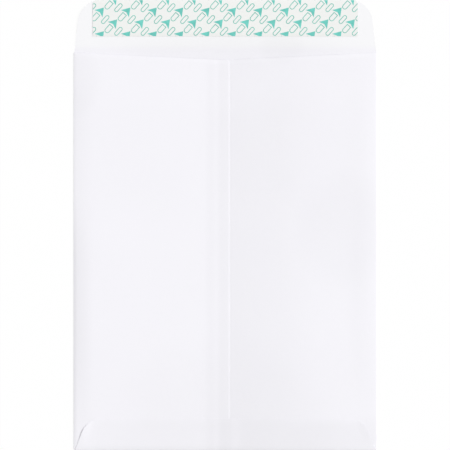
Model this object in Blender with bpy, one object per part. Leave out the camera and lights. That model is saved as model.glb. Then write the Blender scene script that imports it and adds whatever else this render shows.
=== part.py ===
"""Open-end catalog envelope with a peel-and-seal flap, lying on its front with the flap open.

The paper is cut as one flat blank: a front panel, a back panel on each side of it, a seal flap below
and the top flap above. The blank is then folded, so the envelope is one piece of paper. Two films of
glue hold its seams, and the top flap carries an adhesive strip under a printed release liner.

X runs across the envelope, +Y towards the top flap and +Z up. The origin lies on the ground, under
the middle of the outline. Sizes are in metres.
"""

from math import ceil, copysign, cos, pi, radians, sin, tan

import bmesh
import bpy
from mathutils import Matrix, Vector

# The folded envelope
BODY_WIDTH = 0.2413
BODY_HEIGHT = 0.3175
PAPER_THICKNESS = 0.00013
SIDE_FOLD_RADIUS = 0.0002

# Top flap, measured from its crease
FLAP_HEIGHT = 0.0413
FLAP_ROOT_INSET = 0.0007
FLAP_TAPER = radians(6.45)
FLAP_CORNER_RADIUS = 0.0195
FLAP_RISE = 0.0008

# Top edges of the back panels, below the crease
THROAT_SIDE_DROP = 0.00135
THROAT_CENTRE_DROP = 0.0071
PANEL_CORNER_RADIUS = 0.0025
PANEL_BOTTOM_CLEARANCE = 0.0009

# Centre seam, with the left panel on top
SEAM_EDGE_OFFSET = 0.0034
SEAM_OVERLAP = 0.0099
SEAM_RAMP = 0.01

# Seal flap, folded up over the back panels
SEAL_HEIGHT = 0.0246
SEAL_ROOT_INSET = 0.0008
SEAL_SLANT = radians(21.5)
SEAL_CORNER_RADIUS = 0.0156
SEAL_CROWN = 0.0005

# How far the closed back stands off the front: left of the seam, at its crest right of the seam, and
# beside the right fold
LEFT_BOW = 0.001
CREST_BOW = 0.00125
RIGHT_BOW = 0.00045
CREST_X = 0.045
BOW_ROLL = 0.016
BOW_START = 0.004
BOW_RUN = 0.075
THROAT_ROLL = 0.045
THROAT_BOW_SHARE = 0.4

# Glue films, and the clearance between pieces that lie on each other
GLUE_THICKNESS = 0.00005
SEAM_GLUE_MARGIN = 0.0015
SEAL_GLUE_MARGIN = 0.003
CONTACT_GAP = 0.00003

# Peel-and-seal closure on the inside of the top flap
LINER_WIDTH = 0.2109
LINER_HEIGHT = 0.029
LINER_CORNER_RADIUS = 0.0035
LINER_ABOVE_CREASE = 0.0118
LINER_THICKNESS = 0.00008
ADHESIVE_MARGIN = 0.0025
ADHESIVE_THICKNESS = 0.00006

# Print on the liner: rows of slanted arrows, each a solid head before an outlined shaft, with an
# outlined bar beside it
INK_THICKNESS = 0.000012
PRINT_MARGIN = 0.0002
MOTIF_PITCH = 0.021
ROW_PITCH = 0.0094
MOTIF_SLANT = radians(48)
HEAD_LENGTH = 0.0066
HEAD_WIDTH = 0.0086
HEAD_NOTCH = 0.0016
SHAFT_LENGTH = 0.009
SHAFT_WIDTH = 0.0042
LINE_WIDTH = 0.0006
BAR_LENGTH = 0.0082
BAR_WIDTH = 0.0034
BAR_BEHIND = 0.0015
BAR_BESIDE = 0.007

# Facets
FOLD_STEPS = 6
ARC_STEP = radians(10)
END_STEPS = 4
PANEL_COLUMN = 0.016
PANEL_ROW = 0.026
ROLL_STEPS = 4
RAMP_STEPS = 3
SEAL_EDGE_STEPS = 6
SHARP_ANGLE = radians(40)
MERGE = 1e-7
SLIVER = 0.00005

# Places that follow from the sizes
BOTTOM_Y = -(BODY_HEIGHT + FLAP_HEIGHT) / 2
CREASE_Y = BOTTOM_Y + BODY_HEIGHT
TIP_Y = CREASE_Y + FLAP_HEIGHT
SIDE_X = BODY_WIDTH / 2
HALF_PAPER = PAPER_THICKNESS / 2
GLUED_STEP = PAPER_THICKNESS + GLUE_THICKNESS + 2 * CONTACT_GAP
SIDE_GAP = 2 * SIDE_FOLD_RADIUS
BOTTOM_FOLD_RADIUS = (SIDE_GAP + GLUED_STEP) / 2
SIDE_FOLD_X = SIDE_X - SIDE_FOLD_RADIUS - HALF_PAPER
BOTTOM_FOLD_Y = BOTTOM_Y + BOTTOM_FOLD_RADIUS + HALF_PAPER
PANEL_BOTTOM_Y = BOTTOM_Y + PANEL_BOTTOM_CLEARANCE
SEAL_TOP_Y = BOTTOM_Y + SEAL_HEIGHT
SEAM_X = SEAM_EDGE_OFFSET
HIDDEN_X = SEAM_EDGE_OFFSET - SEAM_OVERLAP
THROAT_SLOPE = (THROAT_CENTRE_DROP - THROAT_SIDE_DROP) / SIDE_FOLD_X
LEFT, RIGHT = -1, 1


def clear_scene():
    for thing in list(bpy.data.objects):
        bpy.data.objects.remove(thing)


def smooth_step(share):
    share = min(max(share, 0.0), 1.0)
    return share * share * (3 - 2 * share)


def roll(distance, width):
    """0 at no distance, rising steeply and then ever flatter to 1 at that width."""
    return 1 - max(1 - max(distance, 0) / width, 0) ** 2


# The blank, flat on the front panel's plane


def blank_x(side, x):
    """Where a point of a folded back panel at x lies on the flat blank."""
    return side * (2 * SIDE_FOLD_X + pi * SIDE_FOLD_RADIUS) - x


def blank_y(y):
    """Where a point of the folded seal flap at y lies on the flat blank."""
    return 2 * BOTTOM_FOLD_Y - pi * BOTTOM_FOLD_RADIUS - y


def throat_y(side, x):
    """Height of a back panel's straight top edge, which falls from the side fold to its free edge."""
    return CREASE_Y - THROAT_SIDE_DROP - THROAT_SLOPE * (SIDE_FOLD_X - side * x)


def rounded(corners):
    """Outline through corners given as (x, y, radius), with an arc at each that has a radius."""
    outline = []
    for index, (x, y, radius) in enumerate(corners):
        corner = Vector((x, y))
        if not radius:
            outline.append(corner)
            continue
        back = (Vector(corners[index - 1][:2]) - corner).normalized()
        ahead = (Vector(corners[(index + 1) % len(corners)][:2]) - corner).normalized()
        turn = pi - back.angle(ahead)
        centre = corner + (back + ahead).normalized() * radius / cos(turn / 2)
        start = corner + back * radius * tan(turn / 2) - centre
        sense = copysign(1, ahead.cross(back))
        steps = ceil(turn / ARC_STEP)
        for step in range(steps + 1):
            outline.append(centre + Matrix.Rotation(sense * turn * step / steps, 2) @ start)
    return outline


def seal_corners(inset):
    """Seal flap as folded, from its left root round to its right root, moved in by inset."""
    root_x = SIDE_X - SEAL_ROOT_INSET - inset / cos(SEAL_SLANT)
    edge_y = SEAL_TOP_Y - inset
    end_x = root_x - (edge_y - BOTTOM_Y) * tan(SEAL_SLANT)
    radius = max(SEAL_CORNER_RADIUS - inset, 0)
    corners = [(-end_x, edge_y, radius)]
    for step in range(1, SEAL_EDGE_STEPS):
        share = 2 * step / SEAL_EDGE_STEPS - 1
        corners.append((end_x * share, edge_y + SEAL_CROWN * (1 - share**2), 0))
    corners.append((end_x, edge_y, radius))
    return root_x, corners


def panel_corners(side, free_x, root_x):
    """A back panel and its shoulder at the flap, in blank places, from the bottom to the top."""
    outer = blank_x(side, free_x)
    return [
        (side * root_x, BOTTOM_FOLD_Y, 0),
        (side * root_x, PANEL_BOTTOM_Y, 0),
        (outer, PANEL_BOTTOM_Y, PANEL_CORNER_RADIUS),
        (outer, throat_y(side, free_x), PANEL_CORNER_RADIUS),
        (blank_x(side, side * SIDE_FOLD_X), CREASE_Y - THROAT_SIDE_DROP, 0),
        (side * SIDE_FOLD_X, CREASE_Y - THROAT_SIDE_DROP, 0),
        (side * (SIDE_X - FLAP_ROOT_INSET), CREASE_Y, 0),
    ]


def blank_outline():
    """The whole blank's outline, anticlockwise from the left end of the seal flap."""
    root_x, seal = seal_corners(0)
    flap_end_x = SIDE_X - FLAP_ROOT_INSET - FLAP_HEIGHT * tan(FLAP_TAPER)
    corners = [(x, blank_y(y), radius) for x, y, radius in seal]
    corners += panel_corners(RIGHT, HIDDEN_X, root_x)
    corners += [(flap_end_x, TIP_Y, FLAP_CORNER_RADIUS), (-flap_end_x, TIP_Y, FLAP_CORNER_RADIUS)]
    corners += reversed(panel_corners(LEFT, SEAM_X, root_x))
    return rounded(corners)


def spread(start, end, spacing):
    """Evenly spaced places from start to end, both included, no further apart than spacing."""
    steps = max(1, ceil(abs(end - start) / spacing))
    return [start + (end - start) * step / steps for step in range(steps + 1)]


def fold_lines(start, radius):
    """Lines across the blank that let it bend round a fold, going outwards from start."""
    return [start + copysign(pi * radius * step / FOLD_STEPS, start) for step in range(FOLD_STEPS + 1)]


def seam_columns():
    """X of the steps that the seam raises in what lies on it."""
    rise = spread(HIDDEN_X - SEAM_RAMP, HIDDEN_X, SEAM_RAMP / RAMP_STEPS)
    fall = spread(SEAM_X, SEAM_X + SEAM_RAMP, SEAM_RAMP / RAMP_STEPS)
    return rise + fall


def blank_columns():
    rolled_x = SIDE_FOLD_X - BOW_ROLL
    left = spread(-SIDE_FOLD_X, -rolled_x, BOW_ROLL / ROLL_STEPS)
    left += spread(-rolled_x, HIDDEN_X - SEAM_RAMP, PANEL_COLUMN)
    left += spread(HIDDEN_X - SEAM_RAMP, HIDDEN_X, SEAM_RAMP / RAMP_STEPS)
    right = spread(SIDE_FOLD_X, rolled_x, BOW_ROLL / ROLL_STEPS) + spread(rolled_x, SEAM_X, PANEL_COLUMN)
    columns = fold_lines(-SIDE_FOLD_X, SIDE_FOLD_RADIUS) + fold_lines(SIDE_FOLD_X, SIDE_FOLD_RADIUS)
    columns += [blank_x(LEFT, x) for x in left] + [blank_x(RIGHT, x) for x in right]
    return columns + seam_columns()


def panel_rows():
    closing_y = CREASE_Y - THROAT_CENTRE_DROP - THROAT_ROLL
    rows = spread(PANEL_BOTTOM_Y, SEAL_TOP_Y, PANEL_ROW)
    rows += spread(SEAL_TOP_Y + BOW_START, closing_y, PANEL_ROW)
    return rows + spread(closing_y, CREASE_Y, THROAT_ROLL / ROLL_STEPS)


def blank_rows():
    return panel_rows() + fold_lines(BOTTOM_FOLD_Y, BOTTOM_FOLD_RADIUS)


# Folding: every point of a piece has a place on its flat outline and a depth above its middle plane


def bow(x, y):
    """How far the back stands off the front, past the gap that the side folds leave."""
    to_crest = roll(x - SEAM_X, CREST_X - SEAM_X)
    past_crest = smooth_step((x - CREST_X) / (SIDE_FOLD_X - BOW_ROLL - CREST_X))
    height = LEFT_BOW + (CREST_BOW - LEFT_BOW) * to_crest - (CREST_BOW - RIGHT_BOW) * past_crest
    held = roll(SIDE_FOLD_X + x, BOW_ROLL) * roll(SIDE_FOLD_X - x, BOW_ROLL)
    risen = smooth_step((y - SEAL_TOP_Y - BOW_START) / BOW_RUN)
    closed = 1 - smooth_step((throat_y(RIGHT, abs(x)) - y) / THROAT_ROLL)
    return height * held * risen * (1 - (1 - THROAT_BOW_SHARE) * closed)


def seam_rise(x):
    """Step in a sheet that runs over the hidden edge of the right panel."""
    return GLUED_STEP * smooth_step((x - HIDDEN_X + SEAM_RAMP) / SEAM_RAMP)


def right_panel_height(x, y):
    return SIDE_GAP + bow(x, y)


def left_panel_height(x, y):
    return right_panel_height(x, y) + seam_rise(x)


def seal_flap_height(x):
    fall = smooth_step((x - SEAM_X) / SEAM_RAMP)
    return SIDE_GAP + GLUED_STEP + seam_rise(x) * (1 - fall)


def turned_back(distance, depth, radius, height):
    """Reach past a fold line and height above the front, for a point that lies distance past it."""
    angle = min(distance / radius, pi)
    past = max(distance - pi * radius, 0)
    reach = (radius - depth) * sin(angle) - past
    return reach, height / 2 - (height / 2 - depth) * cos(angle)


def flap_rise(y):
    return FLAP_RISE * max(y - CREASE_Y, 0) / FLAP_HEIGHT


def fold_sheet(x, y, depth):
    """Place in the folded envelope of a point of the flat blank."""
    if abs(x) > SIDE_FOLD_X:
        side = copysign(1, x)
        distance = abs(x) - SIDE_FOLD_X
        past = max(distance - pi * SIDE_FOLD_RADIUS, 0)
        panel_height = left_panel_height if side == LEFT else right_panel_height
        height = panel_height(side * (SIDE_FOLD_X - past), y)
        reach, rise = turned_back(distance, depth, SIDE_FOLD_RADIUS, height)
        return side * (SIDE_FOLD_X + reach), y, HALF_PAPER + rise
    if y < BOTTOM_FOLD_Y:
        reach, rise = turned_back(BOTTOM_FOLD_Y - y, depth, BOTTOM_FOLD_RADIUS, seal_flap_height(x))
        return x, BOTTOM_FOLD_Y - reach, HALF_PAPER + rise
    return x, y, HALF_PAPER + depth + flap_rise(y)


def on_right_panel(x, y, depth):
    """Glue that lies on the right panel, under the seam."""
    above = HALF_PAPER + CONTACT_GAP + GLUE_THICKNESS / 2
    return x, y, HALF_PAPER + right_panel_height(x, y) + above + depth


def under_seal_flap(x, y, depth):
    """Glue that clings to the underside of the seal flap."""
    below = HALF_PAPER + CONTACT_GAP + GLUE_THICKNESS / 2
    return x, y, HALF_PAPER + seal_flap_height(x) - below + depth


def on_flap(level):
    """Folding of a strip whose middle lies level above the flap's inside."""
    return lambda x, y, depth: (x, y, PAPER_THICKNESS + flap_rise(y) + level + depth)


# Pieces


def sheet_mesh(name, outline, columns, rows, thickness, place):
    """A flat outline cut along its columns and rows, made a slab and put in place."""
    form = bmesh.new()
    form.faces.new([form.verts.new((x, y, 0)) for x, y in outline])
    cuts = [((x, 0, 0), (1, 0, 0)) for x in columns] + [((0, y, 0), (0, 1, 0)) for y in rows]
    for point, normal in cuts:
        everything = form.verts[:] + form.edges[:] + form.faces[:]
        bmesh.ops.bisect_plane(form, geom=everything, dist=MERGE, plane_co=point, plane_no=normal)
    return slab_mesh(name, form, thickness, place)


def in_order(form):
    """The same faces made anew in an order that their places give, so that every build is alike."""
    verts = sorted(form.verts, key=lambda vert: vert.co[:])
    number = {vert: index for index, vert in enumerate(verts)}
    loops = set()
    for face in form.faces:
        loop = [number[vert] for vert in face.verts]
        first = loop.index(min(loop))
        loops.add(tuple(loop[first:] + loop[:first]))
    ordered = bmesh.new()
    corners = [ordered.verts.new(vert.co) for vert in verts]
    for loop in sorted(loops):
        ordered.faces.new([corners[index] for index in loop])
    form.free()
    return ordered


def slab_mesh(name, form, thickness, place):
    """Flat faces given their thickness, with each point moved to its place."""
    bmesh.ops.triangulate(form, faces=form.faces[:], quad_method="FIXED")
    raised = bmesh.ops.extrude_face_region(form, geom=form.faces[:])["geom"]
    for part in raised:
        if isinstance(part, bmesh.types.BMVert):
            part.co.z = thickness
    bmesh.ops.recalc_face_normals(form, faces=form.faces[:])
    for vert in form.verts:
        vert.co = place(vert.co.x, vert.co.y, vert.co.z - thickness / 2)
    form = in_order(form)
    mesh = bpy.data.meshes.new(name)
    form.to_mesh(mesh)
    form.free()
    mesh.shade_smooth()
    mesh.set_sharp_from_angle(angle=SHARP_ANGLE)
    return mesh


def finish(name, colour, roughness):
    material = bpy.data.materials.new(name)
    material.use_nodes = True
    shader = material.node_tree.nodes["Principled BSDF"]
    shader.inputs["Base Color"].default_value = (*colour, 1)
    shader.inputs["Roughness"].default_value = roughness
    shader.inputs["Metallic"].default_value = 0
    return material


def add_piece(name, mesh, material):
    mesh.materials.append(material)
    piece = bpy.data.objects.new(name, mesh)
    bpy.context.scene.collection.objects.link(piece)
    return piece


def rectangle(x_low, x_high, y_low, y_high):
    return [(x_low, y_low), (x_high, y_low), (x_high, y_high), (x_low, y_high)]


def add_envelope_sheet():
    mesh = sheet_mesh(
        "envelope_sheet", blank_outline(), blank_columns(), blank_rows(), PAPER_THICKNESS, fold_sheet
    )
    return add_piece("envelope_sheet", mesh, finish("white wove paper", (0.88, 0.88, 0.91), 0.85))


def add_centre_seam_glue():
    outline = rectangle(
        HIDDEN_X + SEAM_GLUE_MARGIN,
        SEAM_X - SEAM_GLUE_MARGIN,
        PANEL_BOTTOM_Y + SEAM_GLUE_MARGIN,
        throat_y(LEFT, SEAM_X) - PANEL_CORNER_RADIUS - SEAM_GLUE_MARGIN,
    )
    mesh = sheet_mesh("centre_seam_glue", outline, [], panel_rows(), GLUE_THICKNESS, on_right_panel)
    return add_piece("centre_seam_glue", mesh, finish("dried seam glue", (0.80, 0.77, 0.66), 0.4))


def add_bottom_flap_glue():
    root_x, corners = seal_corners(SEAL_GLUE_MARGIN)
    low_y = PANEL_BOTTOM_Y + SEAL_GLUE_MARGIN
    low_x = root_x - (low_y - BOTTOM_Y) * tan(SEAL_SLANT)
    corners = [(low_x, low_y, 0), (-low_x, low_y, 0)] + corners
    outline = rounded(corners)
    mesh = sheet_mesh(
        "bottom_flap_glue", outline, seam_columns(), [], GLUE_THICKNESS, under_seal_flap
    )
    return add_piece("bottom_flap_glue", mesh, finish("dried flap glue", (0.80, 0.77, 0.66), 0.4))


def add_adhesive_strip():
    low_y = CREASE_Y + LINER_ABOVE_CREASE
    outline = rectangle(
        ADHESIVE_MARGIN - LINER_WIDTH / 2,
        LINER_WIDTH / 2 - ADHESIVE_MARGIN,
        low_y + ADHESIVE_MARGIN,
        low_y + LINER_HEIGHT - ADHESIVE_MARGIN,
    )
    place = on_flap(CONTACT_GAP + ADHESIVE_THICKNESS / 2)
    mesh = sheet_mesh("adhesive_strip", outline, [], [], ADHESIVE_THICKNESS, place)
    return add_piece("adhesive_strip", mesh, finish("pressure-sensitive adhesive", (0.84, 0.80, 0.66), 0.3))


def shaft_outline(inset):
    """Outline of an arrow's shaft, square behind the head and round at its tail, moved in by inset."""
    radius = SHAFT_WIDTH / 2 - inset
    front_x = -HEAD_NOTCH - inset
    return [(front_x, -radius), (front_x, radius)] + half_round(
        SHAFT_WIDTH / 2 - SHAFT_LENGTH, 0, radius, pi / 2
    )


def bar_outline(inset):
    """Outline of the bar beside an arrow, round at both ends, moved in by inset."""
    radius = BAR_WIDTH / 2 - inset
    half_x = (BAR_LENGTH - BAR_WIDTH) / 2
    tail = half_round(-BAR_BEHIND - half_x, BAR_BESIDE, radius, pi / 2)
    return tail + half_round(half_x - BAR_BEHIND, BAR_BESIDE, radius, -pi / 2)


def half_round(x, y, radius, start):
    """Half a circle about a point, anticlockwise from the angle start."""
    angles = [start + pi * step / END_STEPS for step in range(END_STEPS + 1)]
    return [(x + radius * cos(angle), y + radius * sin(angle)) for angle in angles]


def motif_faces():
    """Flat faces of one arrow along X, its notched head in two halves, and of the lines round its
    shaft and round the bar beside it."""
    notch, tip = (0, 0), (HEAD_LENGTH - HEAD_NOTCH, 0)
    right_barb, left_barb = (-HEAD_NOTCH, -HEAD_WIDTH / 2), (-HEAD_NOTCH, HEAD_WIDTH / 2)
    faces = [(notch, right_barb, tip), (notch, tip, left_barb)]
    for outline in (shaft_outline, bar_outline):
        outer, inner = outline(0), outline(LINE_WIDTH)
        for index in range(len(outer)):
            faces.append((outer[index - 1], outer[index], inner[index], inner[index - 1]))
    return faces


def motif_places():
    """Places of the arrows: rows across the liner, each second row shifted by half a pitch."""
    rows = 2 * ceil(LINER_HEIGHT / ROW_PITCH / 2) + 2
    columns = 2 * ceil(LINER_WIDTH / MOTIF_PITCH / 2) + 3
    middle_y = CREASE_Y + LINER_ABOVE_CREASE + LINER_HEIGHT / 2
    places = []
    for row in range(rows):
        shift = (row % 2 - 0.5) / 2
        for column in range(columns):
            x = (column - (columns - 1) / 2 + shift) * MOTIF_PITCH
            places.append((x, middle_y + (row - (rows - 1) / 2) * ROW_PITCH))
    return places


def liner_outline(inset):
    """The liner's outline, round at the flap's two corners, moved in by inset."""
    half_x = LINER_WIDTH / 2 - inset
    low_y = CREASE_Y + LINER_ABOVE_CREASE + inset
    high_y = low_y + LINER_HEIGHT - 2 * inset
    radius = LINER_CORNER_RADIUS - inset
    return rounded(
        [(-half_x, low_y, 0), (half_x, low_y, 0), (half_x, high_y, radius), (-half_x, high_y, radius)]
    )


def print_mesh():
    """The print, cut off at the liner's edges, reaching from inside the liner to above it."""
    form = bmesh.new()
    turn = Matrix.Rotation(MOTIF_SLANT, 2)
    for x, y in motif_places():
        for face in motif_faces():
            corners = [turn @ Vector(corner) + Vector((x, y)) for corner in face]
            form.faces.new([form.verts.new((*corner, 0)) for corner in corners])
    bmesh.ops.remove_doubles(form, verts=form.verts[:], dist=MERGE)
    edge = liner_outline(PRINT_MARGIN)
    for index, corner in enumerate(edge):
        along = corner - edge[index - 1]
        outwards = (along.y, -along.x, 0)
        everything = form.verts[:] + form.edges[:] + form.faces[:]
        bmesh.ops.bisect_plane(
            form, geom=everything, dist=MERGE, plane_co=(*corner, 0), plane_no=outwards, clear_outer=True
        )
    bmesh.ops.remove_doubles(form, verts=form.verts[:], dist=SLIVER)
    depth = LINER_THICKNESS / 2 + INK_THICKNESS
    place = on_flap(2 * CONTACT_GAP + ADHESIVE_THICKNESS + LINER_THICKNESS / 2 + depth / 2)
    return slab_mesh("liner_print", in_order(form), depth, place)


def add_release_liner():
    place = on_flap(2 * CONTACT_GAP + ADHESIVE_THICKNESS + LINER_THICKNESS / 2)
    mesh = sheet_mesh("release_liner", liner_outline(0), [], [], LINER_THICKNESS, place)
    liner = add_piece("release_liner", mesh, finish("release paper", (0.87, 0.89, 0.87), 0.45))
    ink = add_piece("liner_print", print_mesh(), finish("teal print", (0.18, 0.63, 0.55), 0.5))
    ink.hide_render = True
    ink.display_type = "WIRE"
    union = liner.modifiers.new("raised print", "BOOLEAN")
    union.operation = "UNION"
    union.object = ink
    union.use_self = True
    union.material_mode = "TRANSFER"
    return liner


def main():
    clear_scene()
    add_envelope_sheet()
    add_centre_seam_glue()
    add_bottom_flap_glue()
    add_adhesive_strip()
    add_release_liner()


main()
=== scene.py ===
"""Looks of an open-end catalog envelope: white wove paper, glued seams and a printed peel-off liner.

Every piece is laid out flat on the paper's die-cut blank, the way an envelope machine does it, and one
Geometry Nodes tree then folds it into place. Sizes are in metres.
"""

from math import ceil, copysign, cos, pi, radians, sin, tan
from types import SimpleNamespace

import bmesh
import bpy
from mathutils import Matrix, Vector


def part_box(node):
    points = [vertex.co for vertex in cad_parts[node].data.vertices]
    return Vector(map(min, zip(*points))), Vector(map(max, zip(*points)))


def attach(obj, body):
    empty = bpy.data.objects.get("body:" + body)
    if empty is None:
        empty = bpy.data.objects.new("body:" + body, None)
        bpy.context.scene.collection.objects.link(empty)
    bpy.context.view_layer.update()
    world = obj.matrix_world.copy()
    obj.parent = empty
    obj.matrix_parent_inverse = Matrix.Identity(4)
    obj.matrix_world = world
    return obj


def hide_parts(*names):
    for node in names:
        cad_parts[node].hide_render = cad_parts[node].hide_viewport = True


bl_info = {
    "name": "Catalog Envelope",
    "version": (1, 0, 0),
    "blender": (4, 5, 0),
    "location": "3D View > Sidebar > Envelope",
    "description": "Folds a catalog envelope from its blank and gives it its paper, glue and print",
    "category": "Object",
}

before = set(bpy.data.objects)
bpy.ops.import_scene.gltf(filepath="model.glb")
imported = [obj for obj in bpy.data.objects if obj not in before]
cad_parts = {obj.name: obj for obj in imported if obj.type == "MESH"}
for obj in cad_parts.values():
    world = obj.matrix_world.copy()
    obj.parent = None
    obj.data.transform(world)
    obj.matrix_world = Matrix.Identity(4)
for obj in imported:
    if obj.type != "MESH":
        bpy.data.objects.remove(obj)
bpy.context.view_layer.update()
SHEET_LOW, SHEET_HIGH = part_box("envelope_sheet")
LINER_LOW, LINER_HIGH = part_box("release_liner")

BODY = "root"
LEFT, RIGHT = -1, 1

# Cut of the blank, and how far its glue and the liner's print stay inside their edges
FLAP_HEIGHT = 0.0413
FLAP_TAPER = radians(6.45)
SEAL_SLANT = radians(21.5)
SEAL_GLUE_MARGIN = 0.003
PRINT_MARGIN = 0.0002

# Fineness of arcs and half-round ends, and of the lines that flat pieces are cut along to bend
ARC_STEP = radians(4)
END_STEPS = 10
RIM_STEPS = 4
FOLD_STEPS = 12
WIDE_SPACING = 0.005
FINE_SPACING = 0.0012
EDGE_BAND = 0.016
PRESS_STEPS = 4
SEAL_EDGE_STEP = 0.1

# Edges bent more than this stay sharp in the shading, and points closer than this are one
SHARP_ANGLE = radians(35)
MERGE = 1e-7

# Unevenness of the back panels: scales of its noise, how far it is drawn out and how far it reaches
WAVE_SCALE, WAVE_STRETCH = 13, 0.6
PUCKER_SCALE, PUCKER_STRETCH = 75, 0.4
PUCKER_REACH = 0.018

# Where the back's upper half begins, and how gently it rises there from the left fold
UPPER_START, UPPER_END = -0.03, 0.03
SLOW_ROLL, SLOW_SHARE = 0.12, 0.5

# What is left of the fold shoulder at the upper left and at the right
UPPER_SHOULDER_SHARE = 0.4
RIGHT_SHOULDER_SHARE = 0.15

# Shares of the bow that are reached just above the bottom fold and left at the throat
FOOT_SHARE = 0.12
THROAT_SHARE = 0.4

# How far from the seam the throat's lip still bends down further
LIP_SEAM_REACH = 0.012

# Lift of the bottom flap's ends: where it sets in above the fold, and the right end's share of it
CORNER_START, CORNER_END = 0.002, 0.016
RIGHT_LIFT_SHARE = 0.35

# Paper: noise scales of its clouds, flocs and fibres, how much each darkens it and how high it stands
CLOUD_SCALE, CLOUD_GREY = 22, 0.02
FLOC_SCALE, FLOC_GREY = 380, 0.014
FIBRE_SCALE, FIBRE_GREY = 5200, 0.01
FLOC_UNEVENNESS, FIBRE_STRETCH = 0.6, 0.3
FLOC_HEIGHT, FIBRE_HEIGHT = 0.000006, 0.000004
SCORE_HALF_WIDTH, SCORE_HEIGHT = 0.0005, 0.00001
PAPER_ROUGHNESS, PAPER_ROUGHNESS_SPREAD = 0.78, 0.16
PAPER_BUMP, PAPER_IOR = 0.5, 1.48

# How much darker than its own colour the paper gets at most
FULL_GREY = 0.1

# Painted shade on the paper: over the seam's overlap and right of it, a thin shadow line beside the seam's
# free edge, over the sealed bottom flap and just above the throat's edge; and the width over which the
# flap's painted lighter single ply blends in
SEAM_SHADE, SEAM_SHADE_SOFTNESS, SEAM_SHADE_FADE = 0.045, 0.004, 0.11
SEAM_SHADOW_GREY, SEAM_SHADOW_WIDTH = 0.014, 0.0024
SEALED_SHADE, SEALED_SHADE_SOFTNESS = 0.02, 0.006
LIP_SHADOW, LIP_SHADOW_WIDTH = 0.03, 0.0012
FLAP_BLEND = 0.006

# Painted soft shade in ovals on the front's inside and on the back: middle, half width, half height and
# greyness
MOUTH_SHADE_OVALS = (((0, 0.1351), 0.1, 0.02, 0.02),)
BACK_SHADE_OVALS = (
    ((-0.006, -0.1794), 0.11, 0.1, 0.02),
    ((-0.117, -0.09), 0.012, 0.12, 0.012),
    ((-0.117, 0.115), 0.022, 0.034, 0.022),
    ((0.094, -0.004), 0.044, 0.055, 0.024),
    ((0.085, 0.07), 0.07, 0.09, 0.014),
    ((0.085, -0.172), 0.045, 0.02, 0.018),
    ((0, 0.1445), 0.125, 0.018, 0.016),
    ((0.045, 0.1421), 0.022, 0.016, 0.024),
    ((0.118, -0.055), 0.024, 0.12, 0.018),
)

# Where such an oval begins to fade, as a share of its squared reach
OVAL_CORE = 0.1

# Release paper: its grain and the adhesive's streaks, as scale, share of its shade and height
GRAIN_SCALE, GRAIN_SHARE, GRAIN_HEIGHT = 900, 0.5, 0.000004
STREAK_SCALE, STREAK_SHARE, STREAK_HEIGHT = 700, 0.8, 0.00002
STREAK_STRETCH = 0.08
LINER_SHADE, LINER_DARKNESS = 0.4, 0.035
LINER_ROUGHNESS, LINER_ROUGHNESS_SPREAD = 0.42, 0.2
LINER_BUMP = 0.5

# Print: rows and columns of it past the liner's edges, and patches and specks where the ink took badly
SPARE_ROWS, SPARE_COLUMNS = 2, 3
PATCH_SCALE, PATCH_SHARE = 260, 0.6
SPECK_SCALE, SPECK_SHARE, SPECK_HEIGHT = 2600, 0.4, 0.000002
INK_START, INK_END = 0.35, 0.65
INK_UNEVENNESS = 0.2
INK_ROUGHNESS, INK_ROUGHNESS_SPREAD = 0.5, 0.2
INK_BUMP = 0.5
COATED_IOR = 1.45

# Glue and adhesive: the marks of the roller that spread them
RIB_SCALE, RIB_STRETCH, RIB_HEIGHT = 1500, 0.1, 0.00001
RIB_DARKNESS = 0.12
GLUE_ROUGHNESS, ADHESIVE_ROUGHNESS, RIB_ROUGHNESS_SPREAD = 0.4, 0.3, 0.2
GLUE_BUMP, GLUE_IOR = 0.6, 1.47

# A Mix node's colour sockets, whose names its number and vector sockets share
MIX_ONE, MIX_OTHER, MIX_RESULT = 6, 7, 2

# Stage
PHOTO_PIXELS = 450
PIXEL_LENGTH = 0.00079532
SENSOR_WIDTH = 36
CAMERA_AIM = Vector((-0.0002, -0.00015, 0.001))
FLOOR_HALF = 2.0
FLOOR_LEVEL = -0.00003
FLOOR_COLOUR = (0.99, 0.99, 0.99)
FLOOR_WHITE_SHARE = 0.85
LAMP_DISTANCE = 2.5
LAMP_AZIMUTH = radians(35)
LAMP_ELEVATION = radians(30)
LAMP_ANGLE = radians(25)


def length(name, description, default):
    return bpy.props.FloatProperty(
        name=name, description=description, default=default, unit="LENGTH", subtype="DISTANCE", precision=5
    )


def colour(name, description, red, green, blue):
    """A colour property whose default is given as it looks on a screen, from 0 to 255."""
    return bpy.props.FloatVectorProperty(
        name=name,
        description=description,
        default=screen_colour(red, green, blue),
        subtype="COLOR",
        size=3,
        min=0,
        max=1,
    )


def screen_colour(*channels):
    """Linear colour of screen values from 0 to 255."""
    shares = [channel / 255 for channel in channels]
    return tuple(s / 12.92 if s <= 0.04045 else ((s + 0.055) / 1.055) ** 2.4 for s in shares)


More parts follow.
